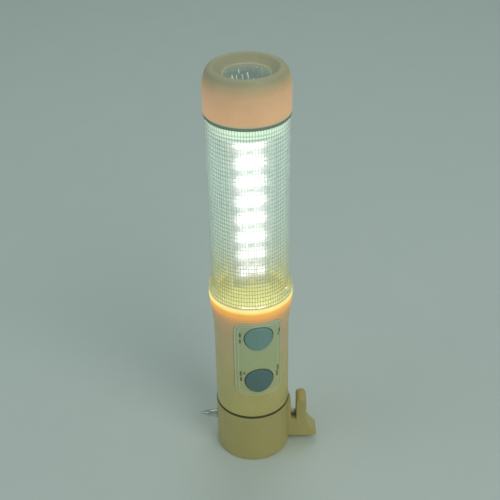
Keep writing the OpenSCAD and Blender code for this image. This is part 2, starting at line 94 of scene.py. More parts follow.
# Shapes that the boxes don't give
panel_turn = math.radians(11)
handle_r = 19.6
tube_r = 20.0
tube_bore_r = 18.6
seat_r = 19.5
seat_z = 98.5
handle_bore_r = 17.6
neck_r = 17.2
neck_bore_r = 15.9
thread_crest_r = 18.1
seal_seat_r = 18.2
button_r = 7.4
button_z = {"upper": 85.0, "lower": 57.0}
button_foot = 15.3
panel_half_w = 12.5
panel_corner = 5.0
panel_proud = 0.25
button_proud = 0.9
eye_r = 10.9
eye_z = 221.7
head_crest_r = 16.5
hook_half_t = 5.0
finger_top = 30.5
slot_x0 = 21.0
slot_x1 = 24.0
slot_z = 15.6
lamp_pitch = 10.25
lamp_foot_z = 112.0
lamp_full_z = 135.0
thread_z = cap_top - 8.3
thread_pitch = 2.5


# ---------------------------------------------------------------- mesh helpers

def make_object(name, verts, faces, sharp=35.0, zones=None):
    """A mesh object from points in millimetres, smooth but for edges over the sharp angle."""
    mesh = bpy.data.meshes.new(name)
    mesh.from_pydata([tuple(c * MM for c in v) for v in verts], [], faces)
    if zones:
        mesh.polygons.foreach_set("material_index", zones)
    finish_mesh(mesh, sharp)
    obj = bpy.data.objects.new(name, mesh)
    bpy.context.scene.collection.objects.link(obj)
    return obj


def finish_mesh(mesh, sharp=35.0):
    """Turns the faces outwards and sets the shading."""
    bm = bmesh.new()
    bm.from_mesh(mesh)
    bmesh.ops.remove_doubles(bm, verts=bm.verts, dist=1e-7)
    bmesh.ops.recalc_face_normals(bm, faces=bm.faces)
    bm.to_mesh(mesh)
    bm.free()
    mesh.shade_smooth()
    mesh.set_sharp_from_angle(angle=math.radians(sharp))


def lathe(name, profile, segments=192, sharp=35.0, wave=None, angles=None, zone=None):
    """Turns a closed profile of (radius, height) round the Z axis.

    wave(column, i) adds to the radius of point i, and zone(i) gives the material of the band above it."""
    angles = angles or [math.tau * k / segments for k in range(segments)]
    count = len(angles)
    verts, rings = [], []
    for i, (r, z) in enumerate(profile):
        if r < 1e-6:
            rings.append([len(verts)] * count)
            verts.append((0, 0, z))
            continue
        rings.append(list(range(len(verts), len(verts) + count)))
        for k, a in enumerate(angles):
            rr = r + (wave(k, i) if wave else 0.0)
            verts.append((rr * math.cos(a), rr * math.sin(a), z))
    faces, zones = [], []
    for i in range(len(rings)):
        lower, upper = rings[i], rings[(i + 1) % len(rings)]
        for k in range(count):
            n = (k + 1) % count
            corners = list(dict.fromkeys([lower[k], lower[n], upper[n], upper[k]]))
            if len(corners) > 2:
                faces.append(corners)
                zones.append(zone(i) if zone else 0)
    return make_object(name, verts, faces, sharp, zones)


def arc(cx, cz, r, a0, a1, steps=6):
    """Points along an arc, with its angles in degrees."""
    turns = [math.radians(a0 + (a1 - a0) * i / steps) for i in range(steps + 1)]
    return [(cx + r * math.cos(a), cz + r * math.sin(a)) for a in turns]


def turned(obj, matrix):
    """Moves an object's mesh by a matrix, whose shifts are in metres."""
    obj.data.transform(matrix)
    obj.data.update()
    return obj


def facing(obj):
    """Turns what was made facing the front to the switch side."""
    return turned(obj, Matrix.Rotation(panel_turn, 4, "Z"))


def join(name, objects):
    """One object from several, with each one's materials."""
    mesh = bpy.data.meshes.new(name)
    bm = bmesh.new()
    for obj in objects:
        slots = len(mesh.materials)
        for m in obj.data.materials:
            mesh.materials.append(m)
        before = len(bm.faces)
        bm.from_mesh(obj.data)
        bm.faces.ensure_lookup_table()
        for f in bm.faces[before:]:
            f.material_index += slots
    bm.to_mesh(mesh)
    bm.free()
    for obj in objects:
        bpy.data.objects.remove(obj)
    out = bpy.data.objects.new(name, mesh)
    bpy.context.scene.collection.objects.link(out)
    return out


def cut(obj, cutter, sharp=30.0):
    """Takes a cutter out of an object, and the cutter out of the scene."""
    mod = obj.modifiers.new("cut", "BOOLEAN")
    mod.operation = "DIFFERENCE"
    mod.solver = "EXACT"
    mod.object = cutter
    bpy.context.view_layer.update()
    graph = bpy.context.evaluated_depsgraph_get()
    mesh = bpy.data.meshes.new_from_object(obj.evaluated_get(graph))
    obj.modifiers.clear()
    obj.data = mesh
    bpy.data.objects.remove(cutter)
    finish_mesh(obj.data, sharp)
    return obj


def inset(outline, distance):
    """Moves a closed outline's points inwards by a distance."""
    n = len(outline)
    area = sum(outline[i - 1][0] * outline[i][1] - outline[i][0] * outline[i - 1][1] for i in range(n))
    turn = 1 if area > 0 else -1
    out = []
    for i in range(n):
        a, p, b = (Vector(outline[j % n]) for j in (i - 1, i, i + 1))
        before, after = (p - a).normalized(), (b - p).normalized()
        normal_a = turn * Vector((-before.y, before.x))
        normal_b = turn * Vector((-after.y, after.x))
        middle = (normal_a + normal_b).normalized()
        out.append(tuple(p + middle * distance / max(0.5, middle.dot(normal_a))))
    return out


def slab(name, outline, half_t, edge_r=0.0, steps=5):
    """An outline of (x, z) given thickness along Y, on both sides of the axis, with its edges rounded."""
    levels = [(0.0, half_t)]
    if edge_r > 0:
        turns = [math.radians(90 * k / steps) for k in range(steps + 1)]
        levels = [(edge_r * (1 - math.sin(a)), half_t - edge_r * (1 - math.cos(a))) for a in turns]
    n = len(outline)
    loops = [[(x, -y, z) for x, z in inset(outline, d)] for d, y in levels]
    loops += [[(x, y, z) for x, z in inset(outline, d)] for d, y in reversed(levels)]
    verts = [v for loop in loops for v in loop]
    side = tessellate_polygon([[Vector((x, z, 0)) for x, _, z in loops[0]]])
    faces = [list(t) for t in side] + [[(len(loops) - 1) * n + k for k in t] for t in side]
    for i in range(len(loops) - 1):
        faces += [[i * n + k, i * n + (k + 1) % n, (i + 1) * n + (k + 1) % n, (i + 1) * n + k]
                  for k in range(n)]
    return make_object(name, verts, faces)


def ramp01(t):
    """Round ramp from 0 to 1."""
    return (1 - math.cos(math.pi * max(0.0, min(1.0, t)))) / 2


def handle_radius(z):
    """Radius of the handle's outside, which flares to the lip."""
    return handle_r + (lip_r - handle_r) * ramp01((z - 78.0) / 26.0) ** 1.3


def skirt_radius(z):
    """Radius of the tube's outside above the lip."""
    return tube_r + (lip_r - 0.05 - tube_r) * (1 - ramp01((z - lip_z) / 14.0)) ** 2.2


# ---------------------------------------------------------------- materials

class Paint:
    """A Principled material under construction."""

    def __init__(self, name, rough=0.5, metallic=0.0, **plain):
        self.mat = bpy.data.materials.new(name)
        self.mat.use_nodes = True
        self.tree = self.mat.node_tree
        self.shader = self.tree.nodes["Principled BSDF"]
        self.shader.inputs["Roughness"].default_value = rough
        self.shader.inputs["Metallic"].default_value = metallic
        for key, value in plain.items():
            self.shader.inputs[key.replace("_", " ")].default_value = value
        self.where = self.node("ShaderNodeTexCoord").outputs["Object"]
        self.height = None

    def node(self, kind, inputs=None, **settings):
        n = self.tree.nodes.new(kind)
        for key, value in settings.items():
            setattr(n, key, value)
        for key, value in (inputs or {}).items():
            if isinstance(value, bpy.types.NodeSocket):
                self.tree.links.new(value, n.inputs[key])
            else:
                n.inputs[key].default_value = value
        return n

    def set(self, key, value):
        self.tree.links.new(value, self.shader.inputs[key])

    def noise(self, scale, detail=3.0, rough=0.55, stretch=None):
        where = self.where
        if stretch:
            where = self.node("ShaderNodeMapping", {"Vector": where, "Scale": stretch}).outputs[0]
        return self.node(
            "ShaderNodeTexNoise",
            {"Vector": where, "Scale": scale, "Detail": detail, "Roughness": rough},
        ).outputs["Fac"]

    def cells(self, scale):
        return self.node("ShaderNodeTexVoronoi", {"Vector": self.where, "Scale": scale}).outputs["Distance"]

    def axis(self, letter):
        split = self.node("ShaderNodeSeparateXYZ", {"Vector": self.where})
        return split.outputs[letter]

    def math(self, operation, a, b=0.0):
        return self.node("ShaderNodeMath", {0: a, 1: b}, operation=operation).outputs[0]

    def span(self, value, a, b, c=0.0, d=1.0):
        """Maps a value's stretch from a to b onto c to d, and holds it there beyond them."""
        return self.node("ShaderNodeMapRange", {"Value": value, "From Min": a, "From Max": b,
                                                "To Min": c, "To Max": d}).outputs[0]

    def mix(self, factor, a, b, blend="MIX"):
        """Blends two colours. The Mix node has its factor at 0, and its colours at 6 and 7."""
        n = self.node("ShaderNodeMix", data_type="RGBA", blend_type=blend)
        for key, value in ((0, factor), (6, a), (7, b)):
            if isinstance(value, bpy.types.NodeSocket):
                self.tree.links.new(value, n.inputs[key])
            else:
                n.inputs[key].default_value = value if key == 0 else (*value[:3], 1.0)
        return n.outputs[2]

    def blend_stops(self, value, stops):
        """A colour for each place along a value: stops are (place, colour)."""
        ramp = self.node("ShaderNodeValToRGB", {"Fac": value})
        points = ramp.color_ramp.elements
        points[0].position, points[0].color = stops[0][0], (*stops[0][1], 1.0)
        points[1].position, points[1].color = stops[-1][0], (*stops[-1][1], 1.0)
        for place, colour in stops[1:-1]:
            points.new(place).color = (*colour, 1.0)
        return ramp.outputs["Color"]

    def tint(self, colour):
        """Multiplies the colour by another."""
        self.set("Base Color", self.mix(1.0, self.shader.inputs["Base Color"].links[0].from_socket,
                                        colour, "MULTIPLY"))

    def glow(self, colour, factor, strength):
        """Light given off: a colour times a factor that varies."""
        grey = self.node("ShaderNodeCombineXYZ", {0: factor, 1: factor, 2: factor}).outputs[0]
        self.set("Emission Color", self.mix(1.0, colour, grey, "MULTIPLY"))
        self.shader.inputs["Emission Strength"].default_value = strength

    def front(self):
        """How far a place is in front of the axis on the switch side, in metres."""
        return self.math("SUBTRACT", self.math("MULTIPLY", self.axis("X"), math.sin(panel_turn)),
                         self.math("MULTIPLY", self.axis("Y"), math.cos(panel_turn)))

    def across(self):
        """How far a place is to the right of the switch side's middle, in metres."""
        return self.math("ADD", self.math("MULTIPLY", self.axis("X"), math.cos(panel_turn)),
                         self.math("MULTIPLY", self.axis("Y"), math.sin(panel_turn)))

    def radius(self):
        """How far a place is from the axis, in metres."""
        flat = self.node("ShaderNodeCombineXYZ", {0: self.axis("X"), 1: self.axis("Y")}).outputs[0]
        return self.node("ShaderNodeVectorMath", {0: flat}, operation="LENGTH").outputs["Value"]

    def bump(self, height, strength, distance):
        """Adds relief under what is already there; distance is in metres."""
        inputs = {"Height": height, "Strength": strength, "Distance": distance}
        if self.height is not None:
            inputs["Normal"] = self.height
        self.height = self.node("ShaderNodeBump", inputs).outputs[0]
        self.set("Normal", self.height)


def shade(colour, factor):
    return tuple(min(1.0, c * factor) for c in colour)


def moulded(name, colour, rough=0.42, grain=0.1, wear=0.0, **plain):
    """Moulded plastic or rubber: faint flow marks, fine satin grain, and scuffs where wear is set."""
    p = Paint(name, rough, **plain)
    flow = p.noise(55.0, 2.0)
    fine = p.noise(900.0, 4.0)
    base = p.mix(p.span(flow, 0.3, 0.7), shade(colour, 0.94), shade(colour, 1.05))
    base = p.mix(p.span(fine, 0.35, 0.65, 0.0, 0.35), base, shade(colour, 0.86))
    if wear:
        scuff = p.span(p.noise(180.0, 6.0, 0.7, (1.0, 1.0, 0.35)), 0.58, 0.72, 0.0, wear)
        base = p.mix(scuff, base, shade(colour, 0.6))
    p.set("Base Color", base)
    p.set("Roughness", p.span(p.noise(240.0, 5.0), 0.3, 0.7, rough - 0.07, rough + 0.1))
    p.bump(p.noise(2600.0, 2.0), grain, 0.00008)
    return p


def metal(name, colour, rough=0.25, stretch=(1.0, 1.0, 0.05), scratch=0.15):
    """Metal with fine lines along one way, and a little tarnish."""
    p = Paint(name, rough, 1.0)
    lines = p.noise(1500.0, 4.0, 0.6, stretch)
    tarnish = p.noise(130.0, 4.0)
    base = p.mix(p.span(tarnish, 0.4, 0.7, 0.0, 0.5), colour, shade(colour, 0.75))
    p.set("Base Color", base)
    p.set("Roughness", p.span(lines, 0.3, 0.7, rough * 0.7, rough * 1.5))
    p.bump(lines, scratch, 0.00003)
    return p


def coat(obj, *paints):
    """Gives an object its materials, in the order of its zones."""
    for p in paints:
        obj.data.materials.append(p.mat)


# ---------------------------------------------------------------- camera, floor and light

def set_camera():
    """Stands in front of the lamp and looks down at it."""
    pitch, roll = 0.5748, -0.0193
    forward = Vector((0, math.cos(pitch), -math.sin(pitch)))
    right = Vector((1, 0, 0))
    up = right.cross(forward)
    across = math.cos(roll) * right + math.sin(roll) * up
    upward = math.cos(roll) * up - math.sin(roll) * right
    data = bpy.data.cameras.new("camera")
    data.sensor_width = 36.0
    data.lens = 71.27
    data.clip_start = 0.01
    obj = bpy.data.objects.new("camera", data)
    bpy.context.scene.collection.objects.link(obj)
    obj.matrix_world = Matrix.Translation((0, -0.41803, 0.39694)) @ Matrix(
        (across, upward, -forward)).transposed().to_4x4()
    bpy.context.scene.camera = obj


def area_light(name, place, target, size, power, colour):
    """Round soft light, aimed at a target. Places are in metres and power is in watts."""
    data = bpy.data.lights.new(name, "AREA")
    data.shape = "DISK"
    data.size = size
    data.energy = power
    data.color = colour
    obj = bpy.data.objects.new(name, data)
    bpy.context.scene.collection.objects.link(obj)
    obj.location = place
    obj.rotation_euler = (Vector(target) - Vector(place)).to_track_quat("-Z", "Y").to_euler()


def set_studio():
    """A pale floor under soft, slightly cool light."""
    world = bpy.data.worlds.new("studio")
    bpy.context.scene.world = world
    world.use_nodes = True
    sky = world.node_tree.nodes["Background"]
    sky.inputs["Color"].default_value = (0.78, 0.95, 0.90, 1.0)
    sky.inputs["Strength"].default_value = 0.27
    area_light("key", (0.5, -0.7, 0.9), (0, 0, 0.1), 0.7, 3.1, (1.0, 0.98, 0.92))
    area_light("fill", (-0.9, -0.3, 0.7), (0, 0, 0.1), 0.9, 1.1, (0.90, 0.98, 1.0))
    area_light("back", (0.1, 0.7, 1.15), (0, 0, 0.12), 0.8, 1.6, (0.95, 0.99, 1.0))

    floor_half = 3000.0
    corners = [(x * floor_half, y * floor_half, 0) for x, y in ((-1, -1), (1, -1), (1, 1), (-1, 1))]
    floor = make_object("floor", corners, [[0, 1, 2, 3]])
    p = Paint("floor_paint", 0.8)
    p.set("Base Color", p.mix(p.noise(30.0, 4.0), (0.70, 0.79, 0.76), (0.74, 0.82, 0.79)))
    p.bump(p.noise(700.0, 3.0), 0.05, 0.0002)
    coat(floor, p)
    scene = bpy.context.scene
    scene.view_settings.view_transform = "Standard"
    scene.cycles.caustics_refractive = False
    scene.cycles.caustics_reflective = False
    scene.cycles.transmission_bounces = 16
    scene.cycles.max_bounces = 20


# ---------------------------------------------------------------- torch head

peach = (0.93, 0.64, 0.33)
# The cap's plastic is the body's peach, darkened and turned olive: painted shade where the lamps' light
# through the plastic doesn't reach.
peach_cap_in_painted_shade = (0.585, 0.495, 0.19)


def build_head():
    """Rounded shell: a spigot in the tube, a broad crown, and a funnel down to the eye over the lens."""
    spigot_r = tube_bore_r - 0.15
    shoulder_z = 214.5
    wall_r = head_r - 1.85
    crown_r = 2.4
    steps = 18
    turns = [math.radians(70 * i / steps) for i in range(steps + 1)]
    shoulder = [(head_crest_r + (head_r - head_crest_r) * math.cos(a),
                 shoulder_z + (crest_z - 0.005 - shoulder_z) * math.sin(a)) for a in turns]
    profile = [(spigot_r - 1.6, head_z0), (spigot_r, head_z0), (spigot_r, ring_z1)]
    profile += [(head_r - 0.35, ring_z1), (head_r, ring_z1 + 0.35), (head_r, 207.0), (head_r, 211.0)]
    profile += shoulder
    profile += arc(head_crest_r - 0.2, crest_z - crown_r, crown_r, 80, 140, 8)
    profile += [(13.3, 223.15), (12.2, 222.3)]
    profile += arc(eye_r + 0.5, eye_z - 0.5, 0.5, 100, 180, 4)
    profile += [(eye_r, lens_z1 + 0.02), (lens_r + 0.1, lens_z1 + 0.02), (lens_r + 0.1, dish_z1)]
    profile += [(13.7, dish_z1), (13.7, 206.0), (15.0, 206.0), (15.0, 217.5), (17.0, 219.0)]
    profile += [(18.2, 216.5), (wall_r, 212.0), (wall_r, ring_z1 + 2), (spigot_r - 1.6, ring_z1 + 2)]
    head = lathe("head_dome", profile, 256, 28.0, zone=lambda i: 1 if i < 2 else 0)
    coat(head, head_paint(), spigot_paint())
    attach(head, "handle")
    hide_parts("head_shell")


def head_paint():
    """Translucent plastic with painted light and shade: a painted warm glow at the side, painted shade
    turning the crown and the funnel grey-green, and a painted grey-green glow low in the funnel.
    """
    p = moulded("head_plastic", peach, 0.45, 0.08, Subsurface_Weight=0.2, Subsurface_Scale=0.004,
                Subsurface_Radius=(1.0, 0.55, 0.25), Specular_IOR_Level=0.3)
    # Painted shade: the crown's colour is darkened and turned grey-green where the lamps' light through the
    # plastic doesn't reach.
    crown_painted_shade = (0.60, 0.84, 1.06)
    dark = (0.0, 0.0, 0.0)
    rise = p.span(p.axis("Z"), ring_z1 * MM, crest_z * MM)
    outside = p.span(p.radius(), (head_crest_r - 1.0) * MM, (head_crest_r + 2.0) * MM)
    near_axis = p.span(p.radius(), (eye_r + 2.6) * MM, (eye_r + 3.6) * MM, 1.0, 0.0)
    below_eye = p.span(p.axis("Z"), (eye_z - 0.3) * MM, (eye_z + 0.2) * MM, 1.0, 0.0)
    throat = p.math("MULTIPLY", near_axis, below_eye)
    # Painted light and shade by height: a cool tint at the bottom edge, under its greenish painted glow,
    # and painted shade towards the crown.
    side = p.blend_stops(rise, [
        (0.0, (0.75, 0.95, 1.25)), (0.03, (0.80, 0.98, 1.2)), (0.08, (1.0, 1.0, 1.1)),
        (0.6, (1.0, 1.0, 1.1)), (0.82, (0.80, 0.92, 1.05)), (0.93, crown_painted_shade)])
    p.tint(p.mix(outside, crown_painted_shade, side))
    # Painted light: a warm glow at the side that fades to none at the crown, and a grey-green glow in the
    # funnel under the eye.
    glow = p.blend_stops(rise, [
        (0.0, (0.52, 0.58, 0.40)), (0.03, (0.60, 0.52, 0.35)), (0.08, (1.0, 0.42, 0.20)),
        (0.3, (0.85, 0.37, 0.24)), (0.6, (0.55, 0.24, 0.17)), (0.8, (0.20, 0.09, 0.06)), (0.92, dark)])
    glow = p.mix(outside, p.mix(throat, dark, (0.42, 0.48, 0.36)), glow)
    p.glow(glow, p.span(p.noise(40.0, 2.0), 0.25, 0.75, 0.8, 1.15), 0.26)
    return p


def spigot_paint():
    """The head's spigot, seen through the tube, with the light of the lamps in front of it painted on as a
    glow.
    """
    p = moulded("spigot_plastic", (0.80, 0.92, 0.84), 0.5, 0.1)
    p.glow(p.mix(p.noise(90.0), (0.48, 0.60, 0.46), (0.55, 0.66, 0.50)),
           p.span(p.front(), -0.01, 0.018, 0.35, 1.0), 0.75)
    return p


def build_reflector():
    """A deep bright dish, pressed into flutes."""
    throat_r = 3.0
    mouth_r = 12.3
    flute_depth = 1.0
    flutes = 20
    columns = 8
    rows = 22
    focus = (mouth_r ** 2 - throat_r ** 2) / 4 / (dish_z1 - dish_z0)
    apex = dish_z1 - mouth_r ** 2 / 4 / focus
    radii = [throat_r + (mouth_r - throat_r) * i / rows for i in range(rows + 1)]
    inner = [(r, apex + r * r / 4 / focus) for r in radii]
    outer = [(r + 0.8, apex + r * r / 4 / focus) for r in reversed(radii[:-2])]
    profile = inner + [(13.4, dish_z1), (13.4, dish_z1 - 1.0)] + outer

    def flute(column, i):
        if i >= len(inner):
            return 0.0
        depth = flute_depth * math.sin(math.pi * i / rows) * radii[i] / mouth_r
        return depth * abs(math.sin(math.pi * column / columns))

    dish = lathe("reflector_dish", profile, flutes * columns, 30.0, flute)
    p = metal("bright_dish", (0.17, 0.21, 0.19), 0.05, (1.0, 1.0, 0.05), 0.01)
    # Painted light: a glow, stronger towards the mouth, lightens the dark dish.
    p.glow(p.mix(p.noise(300.0), (0.68, 1.0, 0.80), (0.80, 1.0, 0.85)),
           p.span(p.axis("Z"), dish_z0 * MM, dish_z1 * MM, 0.4, 1.0), 0.19)
    coat(dish, p)
    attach(dish, "handle")
    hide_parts("reflector")


def build_lens():
    """Clear disc with a softened rim and a very slightly domed top."""
    rim = 0.25
    dome_drop = 0.12
    steps = 8
    dome = [(lens_r * (1 - i / steps), lens_z1 - 0.02 - dome_drop * (1 - i / steps) ** 2)
            for i in range(steps + 1)]
    profile = [(0, lens_z0), (lens_r - rim, lens_z0), (lens_r, lens_z0 + rim), (lens_r, lens_z1 - 0.4)]
    profile += [(lens_r - 0.2, lens_z1 - 0.16)] + dome[1:]
    lens = lathe("clear_lens", profile, 160, 40.0)
    p = Paint("lens_clear", 0.03, Transmission_Weight=1.0, IOR=1.49)
    smear = p.noise(160.0, 4.0)
    p.set("Base Color", p.mix(p.span(smear, 0.4, 0.7, 0.0, 0.6), (0.97, 0.99, 0.98), (0.90, 0.93, 0.92)))
    p.set("Roughness", p.span(smear, 0.45, 0.75, 0.02, 0.09))
    p.bump(p.noise(90.0, 2.0), 0.04, 0.0001)
    coat(lens, p)
    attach(lens, "handle")
    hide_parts("torch_lens")


# ---------------------------------------------------------------- light tube

def build_tube():
    """Clear tube: smooth outside, and cut on the inside into a fine grid of flat cells between grooves."""
    ribs = 90
    cuts_round = (0.0, 0.13, 0.87)
    cuts_up = (0.0, 0.09, 0.91)
    groove = 0.09
    grid_z0, grid_z1 = tube_z0 + 0.5, tube_z1 - 0.6
    rows = round((grid_z1 - grid_z0) / 2.18)
    cell_h = (grid_z1 - grid_z0) / rows
    flange_r = tube_r + 0.5
    skirt_h = 14.0

    outside = [(tube_bore_r, tube_z0), (seat_r - 0.1, tube_z0), (seat_r - 0.1, lip_z + 0.02)]
    outside += [(skirt_radius(lip_z) - 0.3, lip_z + 0.02)]
    outside += [(skirt_radius(lip_z + skirt_h * i / 20), lip_z + 0.25 + (skirt_h - 0.25) * i / 20)
                for i in range(21)]
    outside += [(tube_r, lip_z + skirt_h + (tube_z1 - 2.9 - lip_z - skirt_h) * i / 8) for i in range(1, 9)]
    outside += [(flange_r - 0.1, tube_z1 - 2.3), (flange_r, tube_z1 - 2.1), (flange_r, tube_z1 - 0.3)]
    outside += [(flange_r - 0.3, tube_z1), (tube_bore_r, tube_z1)]
    steps = [(grid_z0 + (row + c) * cell_h, c) for row in range(rows) for c in cuts_up]
    steps.append((grid_z1, 0.0))
    steps.reverse()
    first = len(outside)
    profile = outside + [(tube_bore_r, z) for z, _ in steps]
    angles = [math.tau * (rib + c) / ribs for rib in range(ribs) for c in cuts_round]

    def grooves(column, i):
        if i < first:
            return 0.0
        return groove if column % len(cuts_round) == 0 or steps[i - first][1] == 0.0 else 0.0

    tube = lathe("prism_tube", profile, 0, 20.0, grooves, angles,
                 lambda i: 1 if first <= i < len(profile) - 1 else 0)
    coat(tube, tube_wall_paint(), tube_grid_paint(ribs, grid_z0, cell_h))
    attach(tube, "handle")
    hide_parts("light_tube")


def tube_wall_paint():
    """Smooth clear plastic with faint smears, and a painted yellow reflection of the lit lip just above it.
    """
    p = Paint("tube_wall", 0.04, Transmission_Weight=1.0, IOR=1.49)
    smear = p.noise(60.0, 4.0, 0.6, (1.0, 1.0, 0.4))
    p.set("Base Color", p.mix(p.span(smear, 0.4, 0.75), (0.97, 1.0, 0.98), (0.90, 0.96, 0.93)))
    p.set("Roughness", p.span(smear, 0.45, 0.8, 0.02, 0.10))
    # Painted reflection: a thin yellow glow just above the handle's lip, where the lit lip shows in the
    # skirt.
    p.glow(p.blend_stops(p.span(p.axis("Z"), lip_z * MM, (lip_z + 6) * MM), [
        (0.0, (0.12, 0.11, 0.02)), (0.05, (0.25, 0.22, 0.04)), (0.09, (1.0, 0.90, 0.20)),
        (0.18, (0.95, 0.85, 0.18)), (0.26, (0.22, 0.20, 0.05)), (1.0, (0.0, 0.0, 0.0))]),
        p.span(smear, 0.3, 0.7, 0.8, 1.0), 0.16)
    return p


def tube_grid_paint(ribs, grid_z0, cell_h):
    """The lit inside: bright cells between duller grooves darkened by painted shade, with painted light
    from the lamps that is yellow over the handle's lip.
    """
    p = Paint("tube_grid", 0.05, Transmission_Weight=0.88, IOR=1.49)
    turn = p.math("ARCTAN2", p.axis("Y"), p.axis("X"))
    round_place = p.math("FRACT", p.math("MULTIPLY", turn, ribs / math.tau))
    up_place = p.math("FRACT", p.math("DIVIDE", p.math("SUBTRACT", p.axis("Z"), grid_z0 * MM), cell_h * MM))
    lines = []
    for place, edge in ((round_place, 0.62), (up_place, 0.70)):
        from_middle = p.math("MULTIPLY", p.math("ABSOLUTE", p.math("SUBTRACT", place, 0.5)), 2.0)
        lines.append(p.span(from_middle, edge, 0.97))
    line = p.math("MAXIMUM", lines[0], lines[1])
    uneven = p.span(p.noise(45.0, 3.0), 0.3, 0.7, 0.88, 1.08)
    cell = p.mix(uneven, (0.90, 0.98, 0.94), (0.97, 1.0, 0.98))
    # Painted shade: the grooves' colour is darkened.
    p.set("Base Color", p.mix(line, cell, (0.30, 0.38, 0.33)))
    p.set("Roughness", p.span(line, 0.0, 0.6, 0.04, 0.55))
    up = p.span(p.axis("Z"), lip_z * MM, tube_z1 * MM)
    # Painted light: the lamps' light scattered in the plastic, yellow over the lip, darker on the grooves
    # and brightest in front.
    painted_haze = p.blend_stops(up, [
        (0.0, (0.30, 0.29, 0.09)), (0.09, (0.25, 0.25, 0.10)), (0.2, (0.21, 0.24, 0.15)),
        (0.34, (0.235, 0.302, 0.252)), (0.8, (0.265, 0.345, 0.30)), (1.0, (0.29, 0.36, 0.29))])
    painted_haze = p.mix(line, painted_haze, p.mix(0.75, painted_haze, (0.0, 0.0, 0.0)))
    sideways = p.span(p.front(), -0.012, 0.019, 0.55, 1.0)
    p.glow(painted_haze, p.math("MULTIPLY", sideways, uneven), 1.0)
    return p


def rounded_square(half):
    """Sixteen points of (x, z) round a square with rounded corners."""
    corner = min(0.5, half * 0.3)
    out = []
    for quarter in range(4):
        side_x = 1 if quarter in (0, 3) else -1
        side_z = 1 if quarter in (0, 1) else -1
        for s in range(4):
            a = math.radians(90 * quarter + 30 * s)
            out.append(((half - corner) * side_x + corner * math.cos(a),
                        (half - corner) * side_z + corner * math.sin(a)))
    return out


def build_lamps():
    """Flat lamps, eight rows of two: a white frame round a lit, slightly domed face."""
    rows = 8
    across = 4.2
    half = 2.5
    back, front = 3.4, 5.0
    layers = [(half, back), (half, front - 0.15), (half - 0.15, front), (half - 0.55, front),
              (half - 0.65, front - 0.25), (half - 1.2, front - 0.12), (0.6, front - 0.05)]
    first_lit = 4
    around = len(rounded_square(half))
    mid = (low("led_lamps").z + high("led_lamps").z) / 2
    verts, faces, zones = [], [], []
    for row in range(rows):
        for x in (-across, across):
            z = mid + (row - (rows - 1) / 2) * lamp_pitch
            start = len(verts)
            for size, depth in layers:
                verts += [(x + dx, -depth, z + dz) for dx, dz in rounded_square(size)]
            for k in range(len(layers) - 1):
                a, b = start + around * k, start + around * (k + 1)
                faces += [[a + j, a + (j + 1) % around, b + (j + 1) % around, b + j] for j in range(around)]
                zones += [1 if k >= first_lit else 0] * around
            face_start = start + around * (len(layers) - 1)
            faces += [[start + j for j in range(around)], [face_start + j for j in range(around)]]
            zones += [0, 1]
    lamps = facing(make_object("lit_lamps", verts, faces, zones=zones))
    coat(lamps, lamp_case_paint(), lamp_glow_paint())
    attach(lamps, "handle")
    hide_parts("led_lamps")


def dimmer_at_foot(paint, least):
    """A factor that falls to its least at the lowest lamps."""
    return paint.span(paint.axis("Z"), lamp_foot_z * MM, lamp_full_z * MM, least, 1.0)


def lamp_case_paint():
    p = moulded("lamp_case", (0.92, 0.92, 0.88), 0.4, 0.05)
    p.glow(p.mix(p.noise(400.0), (1.0, 0.93, 0.95), (1.0, 0.96, 0.97)), dimmer_at_foot(p, 0.45), 0.85)
    return p


def lamp_glow_paint():
    p = Paint("lamp_glow", 0.3)
    speckle = p.span(p.cells(900.0), 0.0, 0.6, 0.9, 1.0)
    p.set("Base Color", p.mix(speckle, (1.0, 0.9, 0.5), (1.0, 0.98, 0.85)))
    p.glow(p.mix(speckle, (1.0, 0.96, 0.95), (1.0, 0.99, 0.98)), dimmer_at_foot(p, 0.28), 3.6)
    return p


# ---------------------------------------------------------------- seals

def build_seal(name, node, body, r, z0, z1, inner_r, colour):
    """Rubber ring with a rounded outer edge."""
    h = (z1 - z0) / 2
    mid = (z0 + z1) / 2
    bulge = [(r - h * 0.8 + h * 0.8 * math.cos(math.radians(a)), mid + h * math.sin(math.radians(a)))
             for a in range(-90, 91, 15)]
    ring = lathe(name, [(inner_r, z0), *bulge, (inner_r, z1)], 192, 50.0)
    p = moulded(name + "_rubber", colour, 0.6, 0.12)
    coat(ring, p)
    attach(ring, body)
    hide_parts(node)


# ---------------------------------------------------------------- handle

def thread_ridge(name, root_r, crest_r, z, deg0, deg1):
    """Helical ridge between two turns in degrees: wide at its root, and fading at both ends."""
    step = 6
    fade = 45
    count = round((deg1 - deg0) / step)
    verts, faces = [], []
    for i in range(count + 1):
        deg = deg0 + i * step
        full = max(0.3, min(1.0, (deg - deg0) / fade, (deg1 - deg) / fade))
        crest = root_r + (crest_r - root_r) * full
        a = math.radians(deg)
        for r, dz in ((root_r, -0.55), (crest, -0.3), (crest, 0.3), (root_r, 0.55)):
            verts.append((r * math.cos(a), r * math.sin(a), z + thread_pitch * deg / 360 + dz))
    for i in range(count):
        for k in range(4):
            n = (k + 1) % 4
            faces.append([4 * i + k, 4 * i + n, 4 * i + 4 + n, 4 * i + 4 + k])
    faces += [[0, 1, 2, 3], [4 * count + k for k in (3, 2, 1, 0)]]
    return make_object(name, verts, faces, 30.0)


